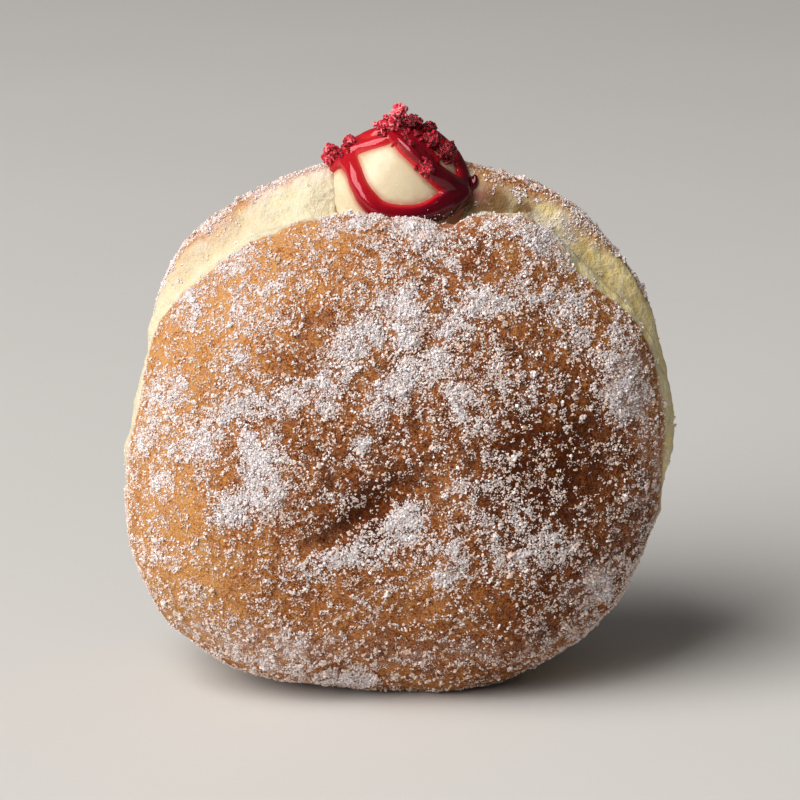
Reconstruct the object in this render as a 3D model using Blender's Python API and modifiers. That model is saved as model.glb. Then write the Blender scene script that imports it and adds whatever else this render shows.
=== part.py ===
"""A filled doughnut standing on its rim, with custard and raspberry jam coming out of its mouth.

Metres, +Z up. The doughnut's axis lies along Y and its front face looks along -Y. The origin is on the
floor, under the middle of the whole thing. Run it with blender --background --python part.py.
"""

import math

import bmesh
import bpy
from mathutils import Matrix, Vector, noise

MM = 0.001
GAP = 0.3 * MM  # clearance left between pieces that touch
WELD = 0.001 * MM  # corners closer than this are one

# Dough: a thick disc on its edge, wider than it is tall, with a flat spot to stand on.
RIM_RADIUS = 46.8 * MM
CENTRE_HEIGHT = 43.2 * MM  # the floor cuts the rim off a little below this
HALF_THICKNESS = 26.0 * MM
SECTION_POWER = 2.6  # 2 is an ellipse, more is squarer
RIM_STEPS = 110
SECTION_STEPS = 84
DOUGH_DETAIL = 0.21  # share of the turned mesh's triangles that are kept
# Waves round the rim: how many, how high, and the bearing of one crest, counted from +X over the top.
RIM_WAVES = (
    (1, 0.6 * MM, 193),
    (2, 1.0 * MM, 40),
    (3, 0.9 * MM, 95),
    (4, 1.55 * MM, 40),
    (5, 0.6 * MM, 70),
)

# A seam runs round the pale waist, in front of the middle of the rim. It gapes towards the top, more on
# the right, and most at the mouth.
SEAM_DEPTH = 0.4 * MM
SEAM_TOP_DEPTH = 2.0 * MM
SEAM_RIGHT_DEPTH, SEAM_RIGHT_BEARING, SEAM_RIGHT_SPAN = 1.9 * MM, 45, 28
MOUTH_DEPTH, MOUTH_BEARING, MOUTH_SPAN = 4.5 * MM, 90, 17
SEAM_HALF_WIDTH = 2.1 * MM
SEAM_FORWARD = 4.6 * MM
FRONT_DROP = 3.6 * MM  # how much lower the front half is, over the top
LIP_PUSH = 1.6 * MM  # the custard pushes the front lip forward
LIP_PUSH_SPAN = 20
# Where the front lip sags under the dollop and beside it: bearing, span in degrees, and depth.
LIP_SAGS = ((110, 18, 1.1 * MM), (89, 10, 2.4 * MM), (77, 6.5, 3.8 * MM), (65, 6, -1.0 * MM))

# A crease across the front face, as (across, up) from the face's centre.
CREASE_CENTRE = Vector((-6.5, -7.2)) * MM
CREASE_ANGLE = 37
CREASE_HALF_LENGTH = 9.0 * MM
CREASE_HALF_WIDTH = 2.2 * MM
CREASE_DEPTH = 1.7 * MM
# A low swelling of the face below the crease.
SWELL_CENTRE = Vector((9, -12)) * MM
SWELL_HEIGHT = 0.9 * MM
SWELL_SIZE = 13 * MM
# Low swells and dips of hand-shaped dough: their height and how far apart they lie.
UNEVENNESS = ((0.9 * MM, 17 * MM), (0.35 * MM, 7 * MM))

# Custard: a pocket inside the dough, a neck in the mouth and a dollop that stands out of it.
# Each is half a width along X, half a depth along Y and half a height along Z.
DOLLOP = (11.3 * MM, 9.0 * MM, 11.4 * MM)
NECK = (8.5 * MM, 5.0 * MM)
POCKET = (21.0 * MM, 10.0 * MM, 23.0 * MM)
DOLLOP_CENTRE = Vector((-0.1, 0.5, 83.2)) * MM
POCKET_HEIGHT = 46.0 * MM
BLEND_POWER = 6
CUSTARD_SIDES = 24
CUSTARD_RINGS = 28
POLE_SIZE = 1e-5  # a vertex of the unit ball this close to its axis is a pole

# Jam: beads that run over the dollop. Bearing 0 faces the viewer and 90 is +X; rise is above the
# dollop's middle. Each stop is bearing, rise, and the bead's radius there in millimetres.
JAM_SINK = 0.6 * MM  # the beads' centre lines lie this far under the custard's surface
LEFT_KNOT = (-72, 37, 2.1)
CROWN_KNOT = (-6, 75, 1.9)
RIGHT_KNOT = (62, 6, 2.7)
JAM_BEADS = {
    "front": (LEFT_KNOT, (-50, 28, 1.7), (-38, 16, 1.7), (-28, 5, 1.8), (-14, -5, 1.9),
              (9, -8, 1.9), (28, -6, 2.1), (45, 0, 2.5), RIGHT_KNOT),
    "left_top": (LEFT_KNOT, (-70, 47, 1.8), (-51, 55, 1.5), (-28, 63, 1.5), CROWN_KNOT),
    "cross": (CROWN_KNOT, (12, 56, 1.9), (23, 44, 1.9), (33, 31, 1.9), (45, 20, 2.1), RIGHT_KNOT),
    "right_edge": (CROWN_KNOT, (70, 78, 2.0), (104, 64, 1.9), (98, 50, 1.7), (91, 38, 1.7),
                   (83, 27, 1.8), (75, 16, 2.1), RIGHT_KNOT),
    "left_fill": (LEFT_KNOT, (-86, 57, 1.5), (-72, 69, 1.6), (-50, 77, 1.6), CROWN_KNOT),
    "back_left": (LEFT_KNOT, (-110, 46, 1.7), (-140, 53, 1.8), (-170, 63, 1.8), (-174, 80, 1.8),
                  CROWN_KNOT),
    "back_right": ((104, 64, 1.9), (128, 44, 1.8), (118, 26, 1.9), (96, 10, 2.2), RIGHT_KNOT),
    "left_drip": (LEFT_KNOT, (-92, 28, 1.5), (-100, 16, 1.2)),
    "cross_fill": (CROWN_KNOT, (22, 65, 1.9), (31, 55, 1.8), (38, 46, 1.4), (44, 38, 0.9)),
}
JAM_STEPS = 5  # curve points between two stops
JAM_VOXEL = 0.5 * MM
JAM_DETAIL = 0.20  # share of the remeshed triangles that are kept

# Pieces of dried raspberry: bearing and rise on the dollop, how far the middle lies above the
# custard, and half sizes along X, Y and Z, the last four in millimetres.
RASPBERRIES = {
    "raspberry_front": ((-20, 70), 1.9, (2.4, 1.5, 1.6)),
    "raspberry_crown": ((0, 87), 2.6, (1.6, 1.4, 1.3)),
    "raspberry_right": ((46, 76), 1.3, (2.1, 1.8, 1.7)),
    "raspberry_ridge": ((72, 68), 1.1, (1.5, 1.4, 1.3)),
    "raspberry_slope": ((48, 54), 0.9, (1.6, 1.4, 2.0)),
    "raspberry_edge": ((57, 41), 0.8, (1.9, 1.6, 1.8)),
    "raspberry_drop": ((23, 29), 1.7, (1.4, 1.1, 1.9)),
    "raspberry_left": ((-86, 32), 1.7, (1.8, 1.9, 2.3)),
    "raspberry_left_top": ((-69, 48), 1.7, (1.2, 1.1, 1.1)),
}
# The lumps on them: their share of the size, and how often they come.
LUMPS = ((0.30, 1.7), (0.16, 3.6))

# Colours and roughnesses.
CRUST_LOOK = ((0.42, 0.19, 0.06), 0.7)
CUSTARD_LOOK = ((0.86, 0.74, 0.42), 0.35)
JAM_LOOK = ((0.36, 0.004, 0.016), 0.12)
RASPBERRY_LOOK = ((0.40, 0.01, 0.03), 0.8)


def smooth_step(low, high, value):
    """0 below low and 1 above high, with a smooth rise between them."""
    share = min(1.0, max(0.0, (value - low) / (high - low)))
    return share * share * (3 - 2 * share)


def bell(value, half_width):
    """A smooth hump of height 1 that has faded out two half widths from 0."""
    return math.exp(-((value / half_width) ** 2))


def bend_from(bearing, middle):
    """How far a bearing lies from another, in degrees, the short way round."""
    return (bearing - middle + 180) % 360 - 180


def rim_radius(turn):
    """The rim's radius at this bearing, in degrees from +X over the top."""
    waves = (high * math.cos(math.radians(count * (turn - crest))) for count, high, crest in RIM_WAVES)
    return RIM_RADIUS + sum(waves)


def seam_depth(turn):
    """How deep the waist's seam is. It gapes most at the mouth and along the upper right."""
    topward = smooth_step(-0.1, 0.75, math.sin(math.radians(turn)))
    return (
        SEAM_DEPTH
        + SEAM_TOP_DEPTH * topward
        + SEAM_RIGHT_DEPTH * bell(bend_from(turn, SEAM_RIGHT_BEARING), SEAM_RIGHT_SPAN)
        + MOUTH_DEPTH * bell(bend_from(turn, MOUTH_BEARING), MOUTH_SPAN)
    )


def crease_depth(across, up):
    """How deep the front face's crease is at this place on the face."""
    angle = math.radians(CREASE_ANGLE)
    along = (across - CREASE_CENTRE.x) * math.cos(angle) + (up - CREASE_CENTRE.y) * math.sin(angle)
    aside = (up - CREASE_CENTRE.y) * math.cos(angle) - (across - CREASE_CENTRE.x) * math.sin(angle)
    return CREASE_DEPTH * bell(along, CREASE_HALF_LENGTH) * bell(aside, CREASE_HALF_WIDTH)


def dough_point(turn, section):
    """The dough's surface at a bearing round the rim and a section angle, -90 in front and 90 behind."""
    angle = math.radians(section)
    reach, depth = math.cos(angle), math.sin(angle)
    size = (abs(reach) ** SECTION_POWER + abs(depth) ** SECTION_POWER) ** (-1 / SECTION_POWER)
    y = HALF_THICKNESS * depth * size
    front = smooth_step(1 * MM, 8 * MM, -y)
    near_rim = smooth_step(0.62, 1.0, reach * size)
    drop = FRONT_DROP * smooth_step(0.35, 0.75, math.sin(math.radians(turn)))
    sags = (deep * bell(bend_from(turn, bearing), span) for bearing, span, deep in LIP_SAGS)
    drop += near_rim * sum(sags)
    radius = (rim_radius(turn) - front * drop) * reach * size
    radius -= near_rim * seam_depth(turn) * bell(y + SEAM_FORWARD, SEAM_HALF_WIDTH)
    y -= LIP_PUSH * near_rim * front * bell(bend_from(turn, MOUTH_BEARING), LIP_PUSH_SPAN)
    across, up = radius * math.cos(math.radians(turn)), radius * math.sin(math.radians(turn))
    if y < 0:
        y += crease_depth(across, up)
        y -= SWELL_HEIGHT * bell((Vector((across, up)) - SWELL_CENTRE).length, SWELL_SIZE)
    return Vector((across, y, up + CENTRE_HEIGHT))


def unevenness(point):
    """How far the surface swells out here, along its normal."""
    return sum(height * noise.noise(point / apart) for height, apart in UNEVENNESS)


def blended(sizes):
    """The largest of some sizes, rounded off where two are alike."""
    return sum(size**BLEND_POWER for size in sizes) ** (1 / BLEND_POWER)


def half_round(half_size, half_height, from_middle):
    """Half of an ellipse's width at a height from its middle."""
    return half_size * math.sqrt(max(0.0, 1 - (from_middle / half_height) ** 2))


def custard_half_size(side, height, grow):
    """Half of the custard's width (side 0) or depth (side 1) at a height."""
    neck = NECK[side] + grow if POCKET_HEIGHT < height < DOLLOP_CENTRE.z else 0
    return blended((
        half_round(DOLLOP[side] + grow, DOLLOP[2] + grow, height - DOLLOP_CENTRE.z),
        half_round(POCKET[side] + grow, POCKET[2] + grow, height - POCKET_HEIGHT),
        neck,
    ))


def on_dollop(bearing, rise, lift=0.0):
    """A point on the dollop, or lifted off it."""
    turn, climb = math.radians(bearing), math.radians(rise)
    width, depth, height = (size + lift for size in DOLLOP)
    return DOLLOP_CENTRE + Vector((
        width * math.cos(climb) * math.sin(turn),
        -depth * math.cos(climb) * math.cos(turn),
        height * math.sin(climb),
    ))


def clear_scene():
    for old in list(bpy.data.objects):
        bpy.data.objects.remove(old)


def made_material(name, colour, roughness):
    material = bpy.data.materials.new(name)
    material.use_nodes = True
    shader = material.node_tree.nodes["Principled BSDF"]
    shader.inputs["Base Color"].default_value = (*colour, 1)
    shader.inputs["Roughness"].default_value = roughness
    shader.inputs["Metallic"].default_value = 0
    return material


def made_object(name, shape, collection, material=None):
    """A smooth-shaded mesh object from a bmesh, which is freed."""
    mesh = bpy.data.meshes.new(name)
    shape.to_mesh(mesh)
    shape.free()
    mesh.shade_smooth()
    if material:
        mesh.materials.append(material)
    made = bpy.data.objects.new(name, mesh)
    collection.objects.link(made)
    return made


def made_cutter(made):
    """Marks an object as a helper, which isn't part of the doughnut."""
    made.hide_render = True
    made.display_type = "WIRE"
    return made


def baked(made):
    """The object with its modifiers applied."""
    bpy.context.view_layer.update()
    graph = bpy.context.evaluated_depsgraph_get()
    mesh = bpy.data.meshes.new_from_object(made.evaluated_get(graph))
    made.modifiers.clear()
    made.data = mesh
    return made


def cut_away(made, cutter):
    """Takes the cutter's shape out of an object."""
    cut = made.modifiers.new("cut", "BOOLEAN")
    cut.operation = "DIFFERENCE"
    cut.object = cutter
    return baked(made)


def made_dough(collection):
    """The dough as a ball pushed into its shape and cut flat where it stands, with no pocket yet."""
    shape = bmesh.new()
    bmesh.ops.create_uvsphere(shape, u_segments=RIM_STEPS, v_segments=SECTION_STEPS, radius=1)
    bmesh.ops.rotate(shape, verts=shape.verts, matrix=Matrix.Rotation(math.radians(90), 3, "X"))
    for vertex in shape.verts:
        turn = math.degrees(math.atan2(vertex.co.z, vertex.co.x))
        section = math.degrees(math.atan2(vertex.co.y, math.hypot(vertex.co.x, vertex.co.z)))
        vertex.co = dough_point(turn, section)
    bmesh.ops.recalc_face_normals(shape, faces=shape.faces)
    shape.normal_update()
    pushed = [vertex.co + vertex.normal * unevenness(vertex.co) for vertex in shape.verts]
    for vertex, place in zip(shape.verts, pushed):
        vertex.co = place
    dough = made_object("dough", shape, collection, made_material("dough", *CRUST_LOOK))
    fewer = dough.modifiers.new("fewer", "DECIMATE")
    fewer.ratio = DOUGH_DETAIL
    baked(dough)
    shape = bmesh.new()
    shape.from_mesh(dough.data)
    everything = shape.verts[:] + shape.edges[:] + shape.faces[:]
    bmesh.ops.bisect_plane(
        shape, geom=everything, plane_co=(0, 0, 0), plane_no=(0, 0, -1), clear_outer=True
    )
    bmesh.ops.holes_fill(shape, edges=[edge for edge in shape.edges if edge.is_boundary])
    bmesh.ops.triangulate(shape, faces=[face for face in shape.faces if len(face.verts) > 4])
    shape.to_mesh(dough.data)
    shape.free()
    return dough


def custard_shape(grow=0.0):
    """Pocket, neck and dollop as one turned body, or the same grown all round as a cutter."""
    shape = bmesh.new()
    bmesh.ops.create_uvsphere(shape, u_segments=CUSTARD_SIDES, v_segments=CUSTARD_RINGS, radius=1)
    low = POCKET_HEIGHT - POCKET[2] - grow
    high = DOLLOP_CENTRE.z + DOLLOP[2] + grow
    for vertex in shape.verts:
        height = (low + high) / 2 + vertex.co.z * (high - low) / 2
        turn = math.atan2(vertex.co.y, vertex.co.x)
        half_width, half_depth = (custard_half_size(side, height, grow) for side in (0, 1))
        if math.hypot(vertex.co.x, vertex.co.y) < POLE_SIZE:
            half_width, half_depth = 0, 0
        vertex.co = (
            DOLLOP_CENTRE.x + half_width * math.cos(turn),
            DOLLOP_CENTRE.y + half_depth * math.sin(turn),
            height,
        )
    return shape


def smooth_route(points):
    """Points along a smooth curve (Catmull-Rom) through some points, whose fourth number is a radius."""
    padded = [points[0], *points, points[-1]]
    route = []
    for before, start, end, after in zip(padded, padded[1:], padded[2:], padded[3:]):
        for step in range(JAM_STEPS):
            t = step / JAM_STEPS
            pull = t * (end - before) + t * t * (2 * before - 5 * start + 4 * end - after)
            turn = t**3 * (3 * start - before - 3 * end + after)
            route.append(start + 0.5 * (pull + turn))
    return [*route, points[-1]]


def jam_bead(name, stops, collection):
    """One bead of jam as a mesh: a round tube of changing thickness along its route."""
    points = [
        Vector((*on_dollop(bearing, rise, -JAM_SINK), radius * MM)) for bearing, rise, radius in stops
    ]
    route = smooth_route(points)
    curve = bpy.data.curves.new(name, "CURVE")
    curve.dimensions = "3D"
    curve.bevel_depth = 1
    curve.bevel_resolution = 3
    curve.use_fill_caps = True
    spline = curve.splines.new("POLY")
    spline.points.add(len(route) - 1)
    for point, place in zip(spline.points, route):
        point.co = (*place.xyz, 1)
        point.radius = place.w
    made = bpy.data.objects.new(name, curve)
    collection.objects.link(made)
    return meshed_curve(made, collection)


def meshed_curve(made, collection):
    """The curve's tube as a closed mesh object in its place, with round ends."""
    bpy.context.view_layer.update()
    graph = bpy.context.evaluated_depsgraph_get()
    mesh = bpy.data.meshes.new_from_object(made.evaluated_get(graph))
    shape = bmesh.new()
    shape.from_mesh(mesh)
    bmesh.ops.remove_doubles(shape, verts=shape.verts, dist=WELD)
    for point in (made.data.splines[0].points[0], made.data.splines[0].points[-1]):
        ball = bmesh.ops.create_icosphere(shape, subdivisions=2, radius=point.radius)
        bmesh.ops.translate(shape, verts=ball["verts"], vec=point.co.xyz)
    tube = made_object(made.name + "_tube", shape, collection)
    tube.matrix_world = made.matrix_world
    bpy.data.objects.remove(made)
    return tube


def joined(name, pieces, collection):
    """Several mesh objects as one, still overlapping each other."""
    shape = bmesh.new()
    for piece in pieces:
        shape.from_mesh(piece.data)
        bpy.data.objects.remove(piece)
    return made_object(name, shape, collection)


def melted_jam(collection, cutters):
    """The beads melted into one net of jam, which still reaches into the custard."""
    beads = [jam_bead(name, stops, cutters) for name, stops in JAM_BEADS.items()]
    jam = joined("jam", beads, collection)
    remesh = jam.modifiers.new("melt", "REMESH")
    remesh.mode = "VOXEL"
    remesh.voxel_size = JAM_VOXEL
    smooth = jam.modifiers.new("smooth", "SMOOTH")
    smooth.factor = 0.5
    smooth.iterations = 6
    fewer = jam.modifiers.new("fewer", "DECIMATE")
    fewer.ratio = JAM_DETAIL
    baked(jam)
    jam.data.materials.append(made_material("jam", *JAM_LOOK))
    jam.data.shade_smooth()
    return jam


def grown_copy(made, collection):
    """A cutter: a copy of the object with its surface moved out by the gap."""
    shape = bmesh.new()
    shape.from_mesh(made.data)
    shape.normal_update()
    moves = [vertex.normal * GAP for vertex in shape.verts]
    for vertex, move in zip(shape.verts, moves):
        vertex.co += move
    return made_cutter(made_object("grown_" + made.name, shape, collection))


def made_raspberry(name, place, lift, half_sizes, collection, material):
    """A broken lump of dried raspberry."""
    shape = bmesh.new()
    bmesh.ops.create_icosphere(shape, subdivisions=2, radius=1)
    seed = Vector((*place, lift))
    for vertex in shape.verts:
        swells = (size * noise.noise(vertex.co * often + seed) for size, often in LUMPS)
        vertex.co *= 1 + sum(swells)
    bmesh.ops.scale(shape, verts=shape.verts, vec=Vector(half_sizes) * MM)
    bmesh.ops.translate(shape, verts=shape.verts, vec=on_dollop(*place, lift * MM))
    return made_object(name, shape, collection, material)


def stand_on_origin(pieces):
    """Parents the pieces to a holder that puts the floor's middle point under the whole at the origin."""
    corners = [vertex.co for piece in pieces for vertex in piece.data.vertices]
    middle = [(min(c[axis] for c in corners) + max(c[axis] for c in corners)) / 2 for axis in (0, 1)]
    holder = bpy.data.objects.new("doughnut", None)
    bpy.context.scene.collection.objects.link(holder)
    holder.location = (-middle[0], -middle[1], -min(c.z for c in corners))
    for piece in pieces:
        piece.parent = holder


def main():
    clear_scene()
    parts = bpy.data.collections.new("filled_doughnut")
    cutters = bpy.data.collections.new("cutters")
    for collection in (parts, cutters):
        bpy.context.scene.collection.children.link(collection)

    yellow = made_material("custard", *CUSTARD_LOOK)
    custard = made_object("custard", custard_shape(), parts, yellow)
    grown_custard = made_cutter(made_object("grown_custard", custard_shape(GAP), cutters))
    dough = made_dough(parts)
    grown_dough = grown_copy(dough, cutters)
    cut_away(dough, grown_custard)

    # Each piece is cut by all that it rests on, grown by the gap.
    pieces = [custard, dough]
    keep_off = [grown_custard, grown_dough]
    jam = melted_jam(parts, cutters)
    red = made_material("raspberry", *RASPBERRY_LOOK)
    lumps = [made_raspberry(name, *form, parts, red) for name, form in RASPBERRIES.items()]
    for piece in (jam, *lumps):
        grown_piece = grown_copy(piece, cutters)
        for cutter in keep_off:
            cut_away(piece, cutter)
        keep_off.append(grown_piece)
        pieces.append(piece)
    stand_on_origin(pieces)


main()
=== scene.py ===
"""The looks of a sugared, filled doughnut with custard, raspberry jam and bits of dried raspberry.

Metres, +Z up. The doughnut stands on its rim on the floor, its front face looking along -Y.
"""

import math

import bmesh
import bpy
import numpy as np
from mathutils import Matrix, Vector, noise


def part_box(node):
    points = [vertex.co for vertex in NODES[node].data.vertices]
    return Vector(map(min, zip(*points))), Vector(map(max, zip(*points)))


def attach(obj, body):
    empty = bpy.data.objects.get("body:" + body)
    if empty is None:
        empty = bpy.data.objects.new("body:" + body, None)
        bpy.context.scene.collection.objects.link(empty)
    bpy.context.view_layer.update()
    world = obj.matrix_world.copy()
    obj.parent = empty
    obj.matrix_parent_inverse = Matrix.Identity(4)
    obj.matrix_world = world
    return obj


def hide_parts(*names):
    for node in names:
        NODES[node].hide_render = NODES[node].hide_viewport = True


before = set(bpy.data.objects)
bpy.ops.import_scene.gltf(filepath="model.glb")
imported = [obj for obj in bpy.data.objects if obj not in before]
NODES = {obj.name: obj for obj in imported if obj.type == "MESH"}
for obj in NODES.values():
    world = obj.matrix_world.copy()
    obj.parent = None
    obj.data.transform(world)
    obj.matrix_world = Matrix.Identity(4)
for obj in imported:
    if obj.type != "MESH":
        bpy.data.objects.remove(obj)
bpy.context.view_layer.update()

MM = 0.001
WELD = 0.001 * MM

# Dough.
RIM_MIDDLE = 43.2 * MM  # height of the middle of the face
DOUGH_VOXEL = 0.55 * MM
PLUG_PUSH = 0.8 * MM  # the plug that fills the pocket reaches this far into its walls
PLUG_TOP = 77.0 * MM
# The pale band round the rim lies between these, along Y.
BAND_FRONT = -9.2 * MM
BAND_BACK = -1.8 * MM
BAND_BLUR = 0.5 * MM
# Bumps of the fried skin and of the torn crumb: height, and how far apart they lie.
SKIN_BUMPS = ((0.20 * MM, 5.0 * MM), (0.10 * MM, 2.2 * MM), (0.06 * MM, 1.2 * MM))
CRUMB_BUMPS = ((0.50 * MM, 4.2 * MM), (0.26 * MM, 1.7 * MM), (0.10 * MM, 0.9 * MM))
LIP_RIDGE = 0.35 * MM
# On the right the front half's pale lip stands off the back half's wall, with a groove between them: turn
# from the top in degrees and the groove's depth in millimetres.
PALE_LIP = 2.0 * MM
GROOVE_PLACE, GROOVE_WIDTH = -5.2 * MM, 1.3 * MM
GROOVE = ((8, 0), (16, 1.3), (26, 1.1), (33, 0.3), (42, 0.8), (52, 1.2), (64, 1.1), (76, 0.3), (84, 0))
# Painted shade in the corners of the mouth (centre, size, strength), and smears of jam, beside the dollop and on
# the lip.
MOUTH_SHADE_SPOTS = (
    ((15.5, -4.2, 82.9), 3.1, 1.5), ((20.5, -4.4, 81.6), 2.4, 1.3), ((12.5, -5.2, 82.4), 2.4, 1.4),
)
SMEARS = (((12.5, -3.4, 84.2), 1.7, 0.9), ((7.9, -10.8, 81.4), 2.3, 0.5), ((4.5, -11.0, 81.8), 1.6, 0.3))
# Here the front lip sags: middle, size and depth in millimetres.
LIP_DIP = ((16.5, -9.5, 82.5), 3.6, 1.2)

# Drifts of sugar on the front face, in millimetres: from (x, z) to (x, z), half width, thickness from 0 to 1.
SUGAR_DRIFTS = (
    (0, 70, 1, 66, 2.8, 0.95), (-4, 66, -9, 63, 2.5, 0.85), (7, 63, -2, 56, 2.1, 0.95),
    (9, 66, 12, 70, 2.0, 0.75), (12, 70, 17, 71, 2.0, 0.75), (17, 71, 28, 69, 1.8, 0.65),
    (-9, 59, -15, 57, 2.0, 0.65), (-16, 56, -26, 53, 2.0, 0.6), (-27, 54, -29, 51, 2.3, 0.9),
    (-31, 48, -35, 45, 2.3, 0.85), (-23, 46, -22, 42, 3.1, 1.0), (-21, 40, -29, 35, 2.0, 0.95),
    (0, 36, 2, 33, 2.3, 0.95), (4, 32, 8, 31, 2.0, 0.5), (-2, 31, -16, 27, 2.0, 0.5),
    (7, 25, 9, 27, 1.8, 0.8), (16, 29, 20, 29, 1.8, 0.7), (22, 30, 27, 29, 2.0, 0.65),
    (19, 37, 20, 36, 2.0, 0.5), (35, 59, 37, 51, 2.3, 0.6), (-28, 67, -26, 60, 1.6, 0.6),
    (-20, 73, -26, 68, 1.6, 0.6), (-1, 81, 5, 80, 1.8, 0.7), (-11, 81, -4, 82, 1.6, 0.55),
    (22, 80, 26, 76, 2.0, 0.6), (15, 82, 20, 81, 2.3, 0.5), (-39, 52, -41, 45, 1.6, 0.6),
    (-40, 39, -38, 38, 1.5, 0.7), (-36, 56, -37, 53, 2.3, 0.45), (-26, 75, -32, 71, 2.6, 0.45),
    (-33, 69, -34, 67, 2.3, 0.45), (-12, 5, -5, 4, 1.5, 0.6), (-28, 9, -17, 7, 1.5, 0.4),
    (-4, 53, -6, 47, 1.8, 0.45), (14, 48, 15, 46, 1.8, 0.4), (9, 41, 15, 41, 1.5, 0.4),
    (9, 57, 11, 53, 2.8, 0.6), (16, 61, 16, 58, 2.0, 0.45), (21, 57, 21, 55, 1.8, 0.4),
    (33, 23, 34, 18, 1.5, 0.5), (35, 64, 37, 62, 1.6, 0.4), (28, 65, 29, 63, 1.5, 0.4),
    (-14, 40, -10, 39, 1.5, 0.4), (-40, 28, -38, 26, 1.6, 0.35), (19, 77, 20, 75, 2.0, 0.4),
    (13, 36, 14, 34, 1.5, 0.4), (-17, 55, -12, 55, 1.6, 0.6), (26, 58, 25, 58, 1.5, 0.35),
    (-16, 12, -18, 10, 1.5, 0.35), (-26, 70, 8, 77, 5.0, 0.27), (-33, 20, -20, 14, 5.0, 0.12),
    (30, 12, 40, 25, 3.0, 0.10),
)
THIN_SUGAR = 0.16  # thickness of the sugar between the drifts
# Places with hardly any sugar, given in the same way, with the share that is missing.
BARE_PLACES = (
    (-16, 30, -9, 33, 1.1, 0.9), (-9, 33, 2, 42, 1.3, 0.9), (-14, 70, -14, 64, 1.6, 0.6),
    (-38, 60, -37, 59, 1.6, 0.5), (14, 76, 18, 76, 2.3, 0.5), (19, 67, 20, 65, 1.8, 0.6),
    (24, 48, 32, 41, 3.0, 0.6), (0, 43, 1, 40, 1.5, 0.6), (-12, 36, -10, 38, 1.5, 0.5),
    (-27, 26, -27, 20, 2.5, 0.7), (0, 20, 0, 13, 2.6, 0.6), (16, 20, 17, 12, 2.6, 0.6),
    (-35, 42, -38, 36, 2.0, 0.4), (26, 59, 28, 54, 2.0, 0.4), (7, 55, 8, 53, 1.5, 0.4),
    (-9, 77, -10, 76, 2.3, 0.5), (5, 17, 3, 21, 2.0, 0.4), (-16, 22, -11, 19, 2.0, 0.4),
    (-30, 69, -29, 67, 1.5, 0.4), (39, 49, 41, 42, 1.6, 0.4), (0, 2, 28, 4, 2.2, 0.6),
    (7.5, 81.5, 9.5, 80.5, 1.3, 0.7), (-24, 72, -18, 76, 2.0, 0.4),
)
# Sugar that lies on the pale band, which is otherwise nearly free of it.
BAND_DRIFTS = (
    (25, 79, 29, 77, 1.2, 0.26), (20, 84, 22, 83, 0.8, 0.2),
)
# Fine powder without grains.
POWDER = (
    (-24, 83, -11, 89, 2.6, 0.62), (-32, 76, -25, 81, 2.0, 0.4), (23, 80, 28, 77, 1.8, 0.4),
    (38, 58, 42, 40, 4.0, 0.45), (30, 20, 41, 34, 5.0, 0.42), (-38, 12, 36, 10, 5.0, 0.42),
)
# A sharp fold at the bottom of the face's crease, in the same way. The crust is also painted a little browner
# along it, as shade.
FOLD = ((-15, 31, -9, 33, 1.5, 0.6), (-9, 33, 0, 40, 1.8, 0.9))
FOLD_DEPTH = 0.3 * MM
# Sugar on the jam: bearing and rise of the patch, its spread in degrees and how many grains.
JAM_SUGAR = ((14, -15, 10, 200), (-8, -16, 9, 90), (34, -13, 8, 60))
JAM_SUGAR_SIZES = (0.10, 0.24)
CLUSTER_SPREAD = 0.24 * MM
LUMP_HEAP = 0.32 * MM

# Places where the crust is more golden (below 0) or browner (above 0): centre (x, z), size, change. Two of them
# are painted light, not crust colour: ((12, 79), 4, 0.35) paints shade into the lip's dip, and ((46, 46), 8,
# -0.50) paints a rim of light on the right edge.
BROWNING = (
    ((-38, 62), 14, -0.48), ((-44, 42), 13, -0.42), ((-38, 22), 13, -0.36), ((-13, 80), 9, -0.30),
    ((-24, 72), 9, -0.20), ((9, 20), 8, -0.20), ((4, 8), 10, -0.10), ((20, 74), 9, -0.15),
    ((6, 44), 20, 0.20), ((30, 46), 17, 0.32), ((26, 22), 16, 0.27), ((-8, 32), 9, 0.28),
    # Painted light: ((12, 79), 4, 0.35) is painted shade in the lip's dip and ((46, 46), 8, -0.50) a painted rim
    # of light.
    ((-14, 62), 8, 0.12), ((12, 79), 4, 0.35), ((46, 46), 8, -0.50), ((-28, 21), 11, -0.20),
    ((-2, 9), 16, -0.08), ((22, 86), 6, 0.15), ((-14, 74), 8, 0.10), ((-34, 12), 12, -0.10),
    ((8, 38), 4, -0.26), ((4, 27), 5, -0.12), ((-6, 50), 6, -0.10), ((4, 68), 8, -0.08),
)

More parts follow.
